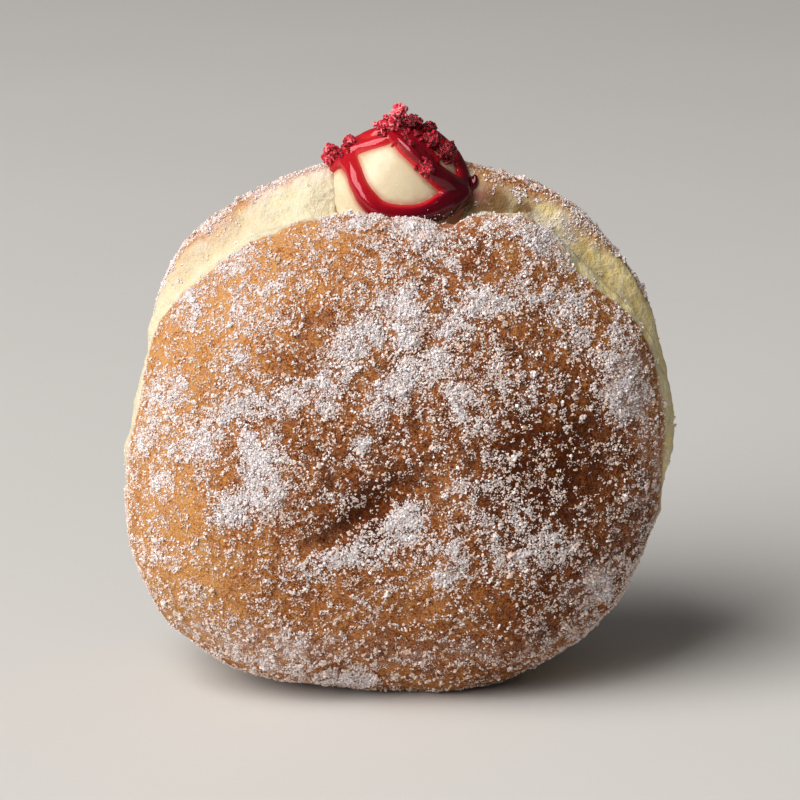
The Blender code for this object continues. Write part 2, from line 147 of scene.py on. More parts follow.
# Jam: the dollop that it runs over, and its beads, each stop a bearing, a rise and a radius in
# millimetres. Bearing 0 faces the viewer and 90 is +X.
DOLLOP = np.array((11.3, 9.0, 11.4)) * MM
DOLLOP_CENTRE = np.array((-0.1, 0.5, 83.2)) * MM
JAM_SINK = 0.6 * MM
LEFT_KNOT = (-72, 37, 2.1)
CROWN_KNOT = (-6, 75, 1.9)
RIGHT_KNOT = (62, 6, 2.7)
JAM_BEADS = {
    "front": (LEFT_KNOT, (-50, 28, 1.7), (-38, 16, 1.7), (-28, 5, 1.8), (-14, -5, 1.9),
              (9, -8, 1.9), (28, -6, 2.1), (45, 0, 2.5), RIGHT_KNOT),
    "left_top": (LEFT_KNOT, (-70, 47, 1.8), (-51, 55, 1.5), (-28, 63, 1.5), CROWN_KNOT),
    "cross": (CROWN_KNOT, (12, 56, 1.9), (23, 44, 1.9), (33, 31, 1.9), (45, 20, 2.1), RIGHT_KNOT),
    "right_edge": (CROWN_KNOT, (70, 78, 2.0), (104, 64, 1.9), (98, 50, 1.7), (91, 38, 1.7),
                   (83, 27, 1.8), (75, 16, 2.1), RIGHT_KNOT),
    "left_fill": (LEFT_KNOT, (-86, 57, 1.5), (-72, 69, 1.6), (-50, 77, 1.6), CROWN_KNOT),
    "back_left": (LEFT_KNOT, (-110, 46, 1.7), (-140, 53, 1.8), (-170, 63, 1.8), (-174, 80, 1.8),
                  CROWN_KNOT),
    "back_right": ((104, 64, 1.9), (128, 44, 1.8), (118, 26, 1.9), (96, 10, 2.2), RIGHT_KNOT),
    "left_drip": (LEFT_KNOT, (-92, 28, 1.5), (-100, 16, 1.2)),
    "cross_fill": (CROWN_KNOT, (22, 65, 1.9), (31, 55, 1.8), (38, 46, 1.4), (44, 38, 0.9)),
}
# Thin ridges and films of jam; each stop has its lift off the custard as well, in millimetres.
JAM_FILMS = (
    ((-16, 65, 0.5, 0.7), (-4, 60, 0.7, 1.0), (3, 54, 0.75, 1.2), (11, 45, 0.75, 1.5),
     (18, 37, 0.6, 1.6), (22, 31, 0.4, 1.2)),
    ((77, 16, 0.5, 2.1), (75, 13, 0.55, 2.1), (73, 10, 0.5, 1.9)),
    ((-76, 32, 1.0, 0.3), (-83, 24, 0.9, 0.3), (-89, 14, 0.7, 0.3)),
)
JAM_STEPS = 8
JAM_VOXEL = 0.2 * MM

# The jam stains the custard this far from its edges. Under its lower right, in the hollow, the same red tint is
# painted shade as well as stain.
STAIN_REACH = 1.0 * MM
STAIN_AND_SHADE_SPOT = np.array((10.5, -4.0, 79.5)) * MM
STAIN_AND_SHADE_SIZE = 5 * MM

RASPBERRY_VOXEL = 0.13 * MM


def smooth_step(low, high, value):
    """0 below low and 1 above high, with a smooth rise between them."""
    share = np.clip((value - low) / (high - low), 0, 1)
    return share * share * (3 - 2 * share)


def bell(value, half_width):
    return np.exp(-((value / half_width) ** 2))


def field(points, apart, shift=0.0):
    """Smooth noise from -1 to 1 at each point, with its swells this far apart."""
    places = (points / apart + shift).tolist()
    return np.array([noise.noise(place) for place in places])


def corners(mesh):
    """A mesh's vertices as an array."""
    places = np.empty(len(mesh.vertices) * 3)
    mesh.vertices.foreach_get("co", places)
    return places.reshape(-1, 3)


def outward(mesh):
    """A mesh's vertex normals as an array."""
    normals = np.empty(len(mesh.vertices) * 3)
    mesh.vertices.foreach_get("normal", normals)
    return normals.reshape(-1, 3)


def move_corners(mesh, places):
    mesh.vertices.foreach_set("co", places.ravel())
    mesh.update()


def write_attribute(mesh, name, values):
    layer = mesh.attributes.new(name, "FLOAT", "POINT")
    layer.data.foreach_set("value", np.asarray(values, dtype=np.float32))


def new_piece(name, shape, material=None, smooth=True):
    """An object from a bmesh, which is freed."""
    mesh = bpy.data.meshes.new(name)
    shape.to_mesh(mesh)
    shape.free()
    return placed(name, mesh, material, smooth)


def placed(name, mesh, material=None, smooth=True):
    mesh.polygons.foreach_set("use_smooth", [smooth] * len(mesh.polygons))
    if material:
        mesh.materials.append(material)
    piece = bpy.data.objects.new(name, mesh)
    bpy.context.scene.collection.objects.link(piece)
    return piece


def baked(piece):
    """The piece with its modifiers applied."""
    bpy.context.view_layer.update()
    graph = bpy.context.evaluated_depsgraph_get()
    mesh = bpy.data.meshes.new_from_object(piece.evaluated_get(graph))
    piece.modifiers.clear()
    piece.data = mesh
    mesh.polygons.foreach_set("use_smooth", [True] * len(mesh.polygons))
    return piece


def melted(piece, voxel, iterations):
    """The piece remeshed into one closed skin of small, even faces, and smoothed."""
    remesh = piece.modifiers.new("melt", "REMESH")
    remesh.mode = "VOXEL"
    remesh.voxel_size = voxel
    smooth = piece.modifiers.new("smooth", "SMOOTH")
    smooth.factor = 0.5
    smooth.iterations = iterations
    return baked(piece)


def merged_copy(node):
    """A bmesh of a CAD node's shape with its corners merged."""
    shape = bmesh.new()
    shape.from_mesh(NODES[node].data)
    bmesh.ops.remove_doubles(shape, verts=shape.verts, dist=WELD)
    shape.normal_update()
    return shape


# ---------------------------------------------------------------- materials


class Look:
    """A material and short ways to add its nodes."""

    def __init__(self, name, **sockets):
        self.material = bpy.data.materials.new(name)
        self.material.use_nodes = True
        self.nodes = self.material.node_tree.nodes
        self.links = self.material.node_tree.links
        self.shader = self.nodes["Principled BSDF"]
        self.place = self.nodes.new("ShaderNodeTexCoord").outputs["Object"]
        for socket, value in sockets.items():
            self.shader.inputs[socket.replace("_", " ")].default_value = value

    def link(self, source, target):
        """Links a source, or sets a plain value."""
        if isinstance(source, bpy.types.NodeSocket):
            self.links.new(source, target)
        else:
            target.default_value = source

    def attribute(self, name):
        node = self.nodes.new("ShaderNodeAttribute")
        node.attribute_name = name
        return node.outputs["Fac"]

    def noise(self, apart, detail=2.0, roughness=0.5, distortion=0.0):
        """Noise from 0 to 1, whose swells lie about this far apart."""
        node = self.nodes.new("ShaderNodeTexNoise")
        node.inputs["Scale"].default_value = 1 / apart
        node.inputs["Detail"].default_value = detail
        node.inputs["Roughness"].default_value = roughness
        node.inputs["Distortion"].default_value = distortion
        self.links.new(self.place, node.inputs["Vector"])
        return node.outputs["Fac"]

    def cells(self, apart, feature="F1"):
        node = self.nodes.new("ShaderNodeTexVoronoi")
        node.feature = feature
        node.inputs["Scale"].default_value = 1 / apart
        self.links.new(self.place, node.inputs["Vector"])
        return node.outputs["Distance"]

    def ramp(self, source, *stops, smooth=False):
        """A colour ramp; each stop is a position and a colour or a grey."""
        node = self.nodes.new("ShaderNodeValToRGB")
        if smooth:
            node.color_ramp.interpolation = "EASE"
        elements = node.color_ramp.elements
        while len(elements) < len(stops):
            elements.new(0.5)
        for element, (position, colour) in zip(elements, stops):
            element.position = position
            element.color = (*colour, 1) if isinstance(colour, tuple) else (colour, colour, colour, 1)
        self.links.new(source, node.inputs["Fac"])
        return node.outputs["Color"]

    def math(self, operation, first, second=0.0, clamp=False):
        node = self.nodes.new("ShaderNodeMath")
        node.operation = operation
        node.use_clamp = clamp
        self.link(first, node.inputs[0])
        self.link(second, node.inputs[1])
        return node.outputs["Value"]

    def mix(self, share, first, second, blend="MIX"):
        """Two colours mixed by a share."""
        node = self.nodes.new("ShaderNodeMix")
        node.data_type = "RGBA"
        node.blend_type = blend
        self.link(share, node.inputs["Factor"])
        for colour, socket in ((first, "A"), (second, "B")):
            target = [s for s in node.inputs if s.name == socket and s.type == "RGBA"][0]
            self.link((*colour, 1) if isinstance(colour, tuple) else colour, target)
        return [s for s in node.outputs if s.type == "RGBA"][0]

    def bump(self, height, distance, strength=1.0, under=None):
        node = self.nodes.new("ShaderNodeBump")
        node.inputs["Strength"].default_value = strength
        node.inputs["Distance"].default_value = distance
        self.links.new(height, node.inputs["Height"])
        if under:
            self.links.new(under, node.inputs["Normal"])
        return node.outputs["Normal"]

    def finish(self, colour=None, roughness=None, normal=None, **others):
        for source, socket in ((colour, "Base Color"), (roughness, "Roughness"), (normal, "Normal")):
            if source is not None:
                self.link(source, self.shader.inputs[socket])
        for socket, source in others.items():
            self.link(source, self.shader.inputs[socket.replace("_", " ")])
        return self.material


def dough_look():
    """Fried crust, golden to deep brown, with a pale crumb band and a film of fine sugar. The band carries painted
    shade in its crumb hollows, its groove, its shaded right side and the mouth's corners.
    """
    look = Look("fried_dough", Roughness=0.7, Specular_IOR_Level=0.06)
    brown = look.attribute("brown")
    crust = look.attribute("crust")
    dusting = look.attribute("dusting")
    mottle = look.noise(3.2 * MM, 4, 0.6)
    freckle = look.noise(0.75 * MM, 3, 0.6)
    pores = look.noise(0.32 * MM, 2, 0.6)
    tone = brown
    for pattern, contrast in ((mottle, 1.4), (freckle, 1.1), (pores, 1.5)):
        tone = look.math("ADD", tone, look.math("MULTIPLY", look.math("SUBTRACT", pattern, 0.5), contrast))
    fried = look.ramp(
        tone,
        (0.0, (0.47, 0.22, 0.053)),
        (0.25, (0.350, 0.128, 0.023)),
        (0.5, (0.230, 0.062, 0.009)),
        (0.75, (0.12, 0.027, 0.004)),
        (1.0, (0.05, 0.009, 0.0015)),
    )
    paler = look.math("SUBTRACT", 1.0, look.math("MULTIPLY", brown, 0.95))
    syrup = look.math("MULTIPLY", look.ramp(look.noise(2.1 * MM, 3, 0.55), (0.50, 0.0), (0.68, 0.32)), paler)
    fried = look.mix(syrup, fried, (0.40, 0.21, 0.125))
    haze = look.math("MULTIPLY", look.ramp(look.noise(0.30 * MM, 3, 0.75), (0.48, 0.0), (0.60, 0.75)), paler)
    fried = look.mix(haze, fried, (0.64, 0.37, 0.215))
    # The pale crumb band; its darker, yellower end is where the crumb value carries painted shade.
    pale = look.ramp(
        look.math("ADD", look.math("MULTIPLY", look.noise(1.8 * MM, 4, 0.6), 0.6),
                  look.math("MULTIPLY", look.attribute("crumb"), 0.4)),
        (0.22, (0.62, 0.45, 0.15)),
        (0.36, (0.82, 0.66, 0.30)),
        (0.45, (0.75, 0.64, 0.37)),
        (0.55, (0.65, 0.58, 0.41)),
        (0.66, (0.66, 0.60, 0.44)),
    )
    # Painted shade: the band turns deep brown in the mouth's corners, where it lies in shadow.
    pale = look.mix(look.attribute("shaded_hollow"), pale, (0.135, 0.058, 0.008))
    colour = look.mix(crust, pale, fried)
    colour = look.mix(look.attribute("smear"), colour, (0.27, 0.08, 0.07))
    lying = look.math("ADD", look.math("MULTIPLY", look.noise(0.42 * MM, 3, 0.7), 1.1), dusting)
    film = look.ramp(look.math("MULTIPLY", lying, 0.5), (0.53, 0.0), (0.76, 0.64))
    colour = look.mix(film, colour, look.mix(crust, (0.72, 0.66, 0.57), (0.69, 0.595, 0.59)))
    skin = look.math("ADD", look.noise(0.9 * MM, 4, 0.6), look.math("MULTIPLY", freckle, 0.5))
    normal = look.bump(skin, 0.5 * MM, 0.9)
    look.shader.inputs["Subsurface Weight"].default_value = 0.08
    look.shader.inputs["Subsurface Radius"].default_value = (1.0, 0.5, 0.25)
    look.shader.inputs["Subsurface Scale"].default_value = 1.0 * MM
    return look.finish(colour=colour, normal=normal)


def custard_look():
    """Smooth, softly translucent custard with a few tiny bubbles and specks."""
    look = Look("custard_cream", Roughness=0.34, Specular_IOR_Level=0.45)
    look.shader.inputs["Subsurface Weight"].default_value = 0.35
    look.shader.inputs["Subsurface Radius"].default_value = (1.0, 0.65, 0.3)
    look.shader.inputs["Subsurface Scale"].default_value = 1.6 * MM
    clouds = look.ramp(
        look.noise(4.0 * MM, 3, 0.55),
        (0.3, (0.605, 0.505, 0.335)),
        (0.7, (0.645, 0.555, 0.385)),
    )
    specks = look.ramp(look.cells(1.3 * MM), (0.05, 1.0), (0.09, 0.0))
    colour = look.mix(look.math("MULTIPLY", specks, 0.35), clouds, (0.62, 0.42, 0.16))
    # Jam stain at the jam's edges; in the hollow under the jam the same tint is also painted shade.
    colour = look.mix(look.attribute("stain"), colour, (0.42, 0.065, 0.028))
    pits = look.ramp(look.cells(1.7 * MM), (0.04, 0.0), (0.16, 1.0))
    uneven = look.math("ADD", look.noise(1.6 * MM, 3, 0.5), look.math("MULTIPLY", pits, 0.35))
    normal = look.bump(uneven, 0.16 * MM, 0.6)
    return look.finish(colour=colour, normal=normal)


def jam_look():
    """Clear glossy jam, orange-red where thin and nearly black where thick, with painted shade that darkens it
    towards the right and low down.
    """
    look = Look("raspberry_jam", Roughness=0.11, Specular_IOR_Level=0.55)
    look.shader.inputs["Specular Tint"].default_value = (1.0, 0.62, 0.68, 1)
    look.shader.inputs["Subsurface Weight"].default_value = 0.12
    look.shader.inputs["Subsurface Radius"].default_value = (1.0, 0.12, 0.08)
    look.shader.inputs["Subsurface Scale"].default_value = 1.2 * MM
    depth = look.attribute("depth")
    cloudy = look.math("MULTIPLY", look.math("SUBTRACT", look.noise(1.6 * MM, 3, 0.6), 0.5), 0.25)
    colour = look.ramp(
        look.math("ADD", depth, cloudy),
        (0.0, (0.60, 0.052, 0.042)),
        (0.10, (0.50, 0.014, 0.020)),
        (0.4, (0.34, 0.004, 0.011)),
        (0.65, (0.17, 0.001, 0.007)),
        (1.0, (0.06, 0.0004, 0.004)),
    )
    return look.finish(colour=colour)


def raspberry_look():
    """Crumbly dried raspberry: crimson, with painted shade darkening its hollows, and pink on its ridges, partly
    dusty colour and partly painted highlight.
    """
    look = Look("dried_raspberry", Specular_IOR_Level=0.4)
    ridge = look.attribute("ridge")
    dark = look.attribute("dark")
    rough = look.math("MULTIPLY", look.math("SUBTRACT", look.noise(0.45 * MM, 3, 0.7), 0.5), 0.7)
    tone = look.math("SUBTRACT", look.math("ADD", ridge, rough), dark)
    colour = look.ramp(
        tone,
        (0.05, (0.11, 0.0005, 0.004)),
        (0.35, (0.42, 0.004, 0.018)),
        (0.62, (0.72, 0.030, 0.068)),
        (0.95, (0.92, 0.36, 0.38)),
    )
    wet = look.math("SUBTRACT", 0.6, look.math("MULTIPLY", dark, 1.0))
    normal = look.bump(look.noise(0.26 * MM, 3, 0.7), 0.25 * MM, 1.0)
    return look.finish(colour=colour, roughness=wet, normal=normal)


def sugar_look():
    """White sugar crystals, each a little brighter or duller than the next, partly at random and partly as painted
    light: duller, warmer grains stand in for crust-coloured light through thin, scattered sugar.
    """
    look = Look("sugar_crystals", Roughness=0.2, Specular_IOR_Level=0.6, IOR=1.5)
    look.shader.inputs["Subsurface Weight"].default_value = 0.6
    look.shader.inputs["Subsurface Radius"].default_value = (1.0, 0.8, 0.7)
    look.shader.inputs["Subsurface Scale"].default_value = 0.3 * MM
    shade = look.attribute("shade")
    colour = look.ramp(
        shade,
        (0.0, (0.46, 0.26, 0.14)),
        (0.3, (0.74, 0.53, 0.41)),
        (0.65, (0.84, 0.72, 0.70)),
        (1.0, (0.90, 0.82, 0.825)),
    )
    return look.finish(colour=colour)


# ---------------------------------------------------------------- dough


def off_top(points):
    """How far round the rim each place lies from the top, in degrees."""
    return np.degrees(np.arctan2(np.abs(points[:, 0]), points[:, 2] - RIM_MIDDLE))


def band_edges(points):
    """The pale band's front and back edge along Y. At the top the back crust comes far forward, and low
    on the sides the front crust reaches round the rim.
    """
    across, turn = points[:, 0], off_top(points)
    low = np.where(across > 0, smooth_step(86, 138, turn), smooth_step(64, 118, turn))
    lip = np.where(across > 0, smooth_step(30, 44, turn), 0)
    front = BAND_FRONT + 9.5 * MM * low - PALE_LIP * lip
    back = BAND_BACK + 8 * MM * smooth_step(38, 84, turn) - 4 * MM * smooth_step(110, 170, turn)
    pale_left = 1.5 * MM * smooth_step(4, 12, turn) * smooth_step(42, 24, turn)
    return front, back + np.where(across < 0, pale_left, 0)


def groove_depth(points):
    """How deep the groove is at each place, from 0, in metres."""
    off_top = np.degrees(np.arctan2(points[:, 0], points[:, 2] - RIM_MIDDLE))
    return np.interp(off_top, *zip(*GROOVE)) * MM * bell(points[:, 1] - GROOVE_PLACE, GROOVE_WIDTH)


def spots_share(spots, points):
    """How strongly each place is covered by a table of round spots, in millimetres."""
    cover = np.zeros(len(points))
    for centre, size, strength in spots:
        cover = np.maximum(cover, strength * bell(np.linalg.norm(points / MM - centre, axis=1), size))
    return cover


def crust_share(points):
    """1 on the browned crust and 0 on the pale band round the rim, with a wavering edge."""
    wander = 0.9 * MM * field(points, 7 * MM, 3.1) + 0.5 * MM * field(points, 2.2 * MM, 9.7)
    broad = 2.2 * MM * field(points, 15 * MM, 51.0) * smooth_step(60 * MM, 35 * MM, points[:, 2])
    y = points[:, 1]
    front, back = band_edges(points)
    front, back = front + wander + broad, back + 1.5 * wander + broad
    blur = BAND_BLUR * (1 + 1.5 * smooth_step(60 * MM, 35 * MM, points[:, 2]))
    in_band = smooth_step(front - blur, front + blur, y)
    in_band *= 1 - smooth_step(back - 3 * blur, back + 1.5 * blur, y)
    turn = off_top(points)
    golden = smooth_step(24, 40, turn) * smooth_step(70, 56, turn) * (points[:, 0] < 0)
    in_band *= 1 - 0.3 * golden * smooth_step(back - 4.5 * MM, back - 1.0 * MM, y)
    return 1 - in_band


def strokes(table, across, up, blur):
    """How strongly each place is covered by a table of strokes."""
    cover = np.zeros(len(across))
    for x1, z1, x2, z2, half_width, strength in table:
        run = np.array((x2 - x1, z2 - z1), dtype=float)
        along = ((across - x1) * run[0] + (up - z1) * run[1]) / max(run @ run, 1e-9)
        along = np.clip(along, 0, 1)
        away = np.hypot(across - x1 - along * run[0], up - z1 - along * run[1])
        cover = np.maximum(cover, strength * bell(away, half_width * blur))
    return cover


def fold_share(points):
    """How close each place on the front face lies to the bottom of the fold."""
    return strokes(FOLD, points[:, 0] / MM, points[:, 2] / MM, 1.0) * (points[:, 1] < -15 * MM)


def browning(points):
    """How brown the crust is, from 0, golden, to 1, deep brown."""
    across = np.where(points[:, 1] > 0, -points[:, 0], points[:, 0]) / MM
    up = points[:, 2] / MM
    tone = 0.52 + 0.22 * field(points, 16 * MM, 1.7)
    for (x, z), size, change in BROWNING:
        tone += change * bell(np.hypot(across - x, up - z), size)
    front, back = band_edges(points)
    near_band = bell(points[:, 1] - front, 4 * MM) + bell(points[:, 1] - back, 3 * MM)
    # Painted shade: the crust is a little browner along the fold.
    fold = fold_share(points)
    return np.clip(tone - 0.22 * near_band + 0.05 * fold, 0.02, 1)


def band_drift(points):
    return strokes(BAND_DRIFTS, points[:, 0] / MM, points[:, 2] / MM, 1.2) * (points[:, 1] < 6 * MM)


def sugar_thickness(points):
    """How thick the sugar lies, from 0 to 1. The back has the front's drifts, turned half round."""
    behind = points[:, 1] > -4 * MM
    across = np.where(behind, -points[:, 0] * 0.9, points[:, 0]) / MM
    up = np.where(behind, 88 * MM - points[:, 2], points[:, 2]) / MM
    waver = 1.6 * field(points, 4.5 * MM, 21.0)
    across, up = across + waver, up + 1.6 * field(points, 4.5 * MM, 33.0)
    drifted = strokes(SUGAR_DRIFTS, across, up, 1.2)
    bare = strokes(BARE_PLACES, across, up, 1.2)
    clumps = smooth_step(-0.35, 0.45, field(points, 2.6 * MM, 5.0))
    fine = smooth_step(-0.4, 0.5, field(points, 1.1 * MM, 15.0))
    sparse = THIN_SUGAR * (0.35 + 0.9 * clumps + 0.6 * fine)
    lying = (sparse + 1.2 * drifted * (0.6 + 0.4 * clumps) * (0.6 + 0.5 * fine)) * (1 - bare)
    lying += band_drift(points) * (0.5 + 0.6 * clumps)
    back = band_edges(points)[1]
    rim = bell(points[:, 1] - back - 2 * MM, 3.5 * MM) * smooth_step(55 * MM, 75 * MM, points[:, 2])
    lying += np.where(points[:, 0] > 0, 0.12, 0.22) * rim * (0.4 + 0.8 * clumps)
    return np.clip(lying, 0, 1)


def made_dough():
    shape = merged_copy("dough")
    plug = merged_copy("custard")
    pushed = [vertex.co + vertex.normal * PLUG_PUSH for vertex in plug.verts]
    for vertex, place in zip(plug.verts, pushed):
        vertex.co = (place.x, place.y, min(place.z, PLUG_TOP))
    filler = bpy.data.meshes.new("filler")
    plug.to_mesh(filler)
    plug.free()
    shape.from_mesh(filler)
    bpy.data.meshes.remove(filler)
    dough = melted(new_piece("sugared_dough", shape), DOUGH_VOXEL, 2)

    mesh = dough.data
    places, normals = corners(mesh), outward(mesh)
    crust = crust_share(places)
    skin = sum(height * field(places, apart, 40 + 3 * index) for index, (height, apart) in enumerate(SKIN_BUMPS))
    crumb = sum(height * field(places, apart, 60 + 3 * index) for index, (height, apart) in enumerate(CRUMB_BUMPS))
    ridge = LIP_RIDGE * bell(places[:, 1] - BAND_FRONT, 0.9 * MM) * (0.5 + field(places, 3 * MM, 71))
    upper = smooth_step(30 * MM, 60 * MM, places[:, 2])
    groove = groove_depth(places)
    lift = crust * skin + (1 - crust) * crumb + ridge * upper - FOLD_DEPTH * fold_share(places) - groove
    lift *= smooth_step(0.0, 2.0 * MM, places[:, 2])
    moved = places + normals * lift[:, None]
    moved[:, 2] = np.maximum(moved[:, 2] - spots_share((LIP_DIP,), moved) * MM, 0)
    move_corners(mesh, moved)
    # Painted light and shade in the band's crumb value: lower, so darker and yellower, in the hollows of the
    # crumb's bumps, in the groove and on the shaded right side, as painted shade; higher and paler on the left
    # side and, a little, on the right's front lip.
    to_right = smooth_step(10 * MM, 30 * MM, moved[:, 0])
    on_lip = smooth_step(8 * MM, 9 * MM, -moved[:, 1])
    light_and_shade_tint = (0.12 * on_lip - 0.18) * to_right - 0.3 * groove / MM
    light_and_shade_tint += (0.24 + 0.12 * smooth_step(4 * MM, 8 * MM, -moved[:, 1])) * (1 - to_right)
    write_attribute(mesh, "crumb", 0.5 + 0.55 * crumb / MM + light_and_shade_tint)
    # Painted shade in the mouth's corners, kept under 0.9.
    write_attribute(mesh, "shaded_hollow", np.minimum(spots_share(MOUTH_SHADE_SPOTS, moved), 0.9))
    write_attribute(mesh, "smear", spots_share(SMEARS, moved))
    write_attribute(mesh, "crust", crust_share(moved))
    write_attribute(mesh, "brown", browning(moved))
    powder = strokes(POWDER, moved[:, 0] / MM, moved[:, 2] / MM, 1.2) * (moved[:, 1] < 6 * MM)
    write_attribute(mesh, "dusting", np.clip(sugar_thickness(moved) + powder, 0, 1))
    mesh.materials.append(dough_look())
    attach(dough, "root")
    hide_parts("dough")
    return dough


# ---------------------------------------------------------------- custard


def gap_to(piece, places):
    """How far each place lies from a piece's surface."""
    nearest = (piece.closest_point_on_mesh(place)[1] for place in places.tolist())
    return np.linalg.norm(places - np.array([tuple(spot) for spot in nearest]), axis=1)


def made_custard(dough, jam):
    """The dollop, rounder than its solid and pressed against the dough."""
    shape = merged_copy("custard")
    custard = new_piece("custard_filling", shape)
    finer = custard.modifiers.new("finer", "SUBSURF")
    finer.levels = finer.render_levels = 2
    baked(custard)
    mesh = custard.data
    places, normals = corners(mesh), outward(mesh)
    pressed = 1 - smooth_step(0.5 * MM, 1.8 * MM, gap_to(dough, places))
    lift = 0.12 * MM + 0.6 * MM * pressed
    lift += 0.22 * MM * field(places, 7 * MM, 2.0) + 0.05 * MM * field(places, 2.5 * MM, 8.0)
    places = places + normals * lift[:, None]
    move_corners(mesh, places)
    # Jam stain near the jam's edges; in the hollow under the jam the tint is painted shade as well.
    stain = 1 - smooth_step(0, STAIN_REACH, gap_to(jam, places))
    shaded_hollow = bell(np.linalg.norm(places - STAIN_AND_SHADE_SPOT, axis=1), STAIN_AND_SHADE_SIZE)
    write_attribute(mesh, "stain", np.maximum(0.7 * stain, 0.9 * shaded_hollow))
    mesh.materials.append(custard_look())
    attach(custard, "root")
    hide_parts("custard")
    return custard


# ---------------------------------------------------------------- jam


def on_dollop(bearing, rise, lift=0.0):
    """A point on the dollop, or lifted off it."""
    turn, climb = math.radians(bearing), math.radians(rise)
    width, depth, height = DOLLOP + lift
    return Vector(DOLLOP_CENTRE) + Vector((
        width * math.cos(climb) * math.sin(turn),
        -depth * math.cos(climb) * math.cos(turn),
        height * math.sin(climb),
    ))


def smooth_route(points, steps):
    """Points along a smooth curve (Catmull-Rom) through some points, whose fourth number is a radius."""
    padded = [points[0], *points, points[-1]]
    route = []
    for before, start, end, after in zip(padded, padded[1:], padded[2:], padded[3:]):
        for step in range(steps):
            t = step / steps
            pull = t * (end - before) + t * t * (2 * before - 5 * start + 4 * end - after)
            turn = t**3 * (3 * start - before - 3 * end + after)
            route.append(start + 0.5 * (pull + turn))
    return [*route, points[-1]]


def tube_mesh(route):
    """A closed round tube along a route, with balls at its ends, as a mesh."""
    curve = bpy.data.curves.new("route", "CURVE")
    curve.dimensions = "3D"
    curve.bevel_depth = 1
    curve.bevel_resolution = 4
    curve.use_fill_caps = True
    spline = curve.splines.new("POLY")
    spline.points.add(len(route) - 1)
    for point, place in zip(spline.points, route):
        point.co = (*place.xyz, 1)
        point.radius = place.w
    made = bpy.data.objects.new("route", curve)
    bpy.context.scene.collection.objects.link(made)
    bpy.context.view_layer.update()
    graph = bpy.context.evaluated_depsgraph_get()
    tube = bpy.data.meshes.new_from_object(made.evaluated_get(graph))
    shape = bmesh.new()
    shape.from_mesh(tube)
    bmesh.ops.remove_doubles(shape, verts=shape.verts, dist=WELD)
    for place in (route[0], route[-1]):
        ball = bmesh.ops.create_icosphere(shape, subdivisions=3, radius=place.w)
        bmesh.ops.translate(shape, verts=ball["verts"], vec=place.xyz)
    shape.to_mesh(tube)
    shape.free()
    bpy.data.objects.remove(made)
    return tube


def made_jam():
    shape = bmesh.new()
    beads = [[(*stop, -JAM_SINK / MM) for stop in stops] for stops in JAM_BEADS.values()]
    for stops in (*beads, *JAM_FILMS):
        points = [
            Vector((*on_dollop(bearing, rise, lift * MM), radius * MM))
            for bearing, rise, radius, lift in stops
        ]
        shape.from_mesh(tube_mesh(smooth_route(points, JAM_STEPS)))
    jam = melted(new_piece("raspberry_jam", shape), JAM_VOXEL, 12)
    mesh = jam.data
    places, normals = corners(mesh), outward(mesh)
    lift = 0.09 * MM * field(places, 3.5 * MM, 4.0) + 0.04 * MM * field(places, 1.5 * MM, 14.0)
    places = places + normals * lift[:, None]
    move_corners(mesh, places)
    off = (places - DOLLOP_CENTRE) / DOLLOP
    height = (np.linalg.norm(off, axis=1) - 1) * DOLLOP.mean() / MM
    # Painted shade: the jam is darker towards the right and low down, away from the key light, on top of its
    # darkening with thickness.
    shaded_right = smooth_step(-0.55, 0.95, off[:, 0])
    low = 1 - smooth_step(-0.4, 0.5, off[:, 2])
    depth = smooth_step(-0.1, 1.3, height) * (0.36 + 0.5 * shaded_right) + 0.32 * low + 0.12 * shaded_right
    write_attribute(mesh, "depth", np.clip(depth, 0, 1))
    mesh.materials.append(jam_look())
    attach(jam, "root")
    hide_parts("jam")
    return jam


# ---------------------------------------------------------------- dried raspberry

# How dark each piece is, from 0, bright crimson, to 1, nearly black.
RASPBERRY_DARKNESS = {
    "raspberry_front": -0.10,
    "raspberry_crown": -0.22,
    "raspberry_right": 0.50,
    "raspberry_ridge": 0.42,
    "raspberry_slope": 0.32,
    "raspberry_edge": 0.48,
    "raspberry_drop": 0.24,
    "raspberry_left": -0.02,
    "raspberry_left_top": 0.02,
}
# Crumbs of it on the jam: bearing and rise of the patch, its spread in degrees and how many.
CRUMB_PATCHES = (
    (14, 57, 4, 7), (5, 68, 8, 10), (-12, 80, 8, 10), (40, 66, 6, 9), (70, 62, 9, 10),
    (52, 47, 6, 8), (62, 36, 5, 6), (-80, 42, 6, 6), (-70, 40, 5, 4), (26, 33, 4, 5), (-30, 62, 6, 4),
)
CRUMB_SIZES = (0.28, 0.62)


def ridged(points, apart, shift):
    """Noise from 0 to 1 with sharp crests, this far apart."""
    return np.clip(1 - 2.2 * np.abs(field(points, apart, shift)), 0, 1)


def add_crumb(shape, place, radius, rng):
    """An angular crumb, stretched and turned at random."""
    crumb = bmesh.ops.create_icosphere(shape, subdivisions=1, radius=radius)
    bmesh.ops.scale(shape, verts=crumb["verts"], vec=Vector(rng.uniform(0.6, 1.35, 3)))
    turned = Matrix(random_turns(1, rng)[0].tolist())
    bmesh.ops.rotate(shape, verts=crumb["verts"], matrix=turned)
    bmesh.ops.translate(shape, verts=crumb["verts"], vec=place)


def raspberry_lump(centre, half_size, rng):
    """A bmesh of overlapping angular crumbs that fill an oval, the large ones inside."""
    shape = bmesh.new()
    for count, reach, sizes in ((12, 0.62, (0.52, 0.76)), (26, 1.0, (0.2, 0.34))):
        for _ in range(count):
            way = rng.normal(size=3)
            way *= reach * rng.uniform(0.5, 1) / np.linalg.norm(way)
            radius = rng.uniform(*sizes) * half_size.min()
            add_crumb(shape, Vector(centre + way * (half_size - 0.4 * radius)), radius, rng)
    return shape


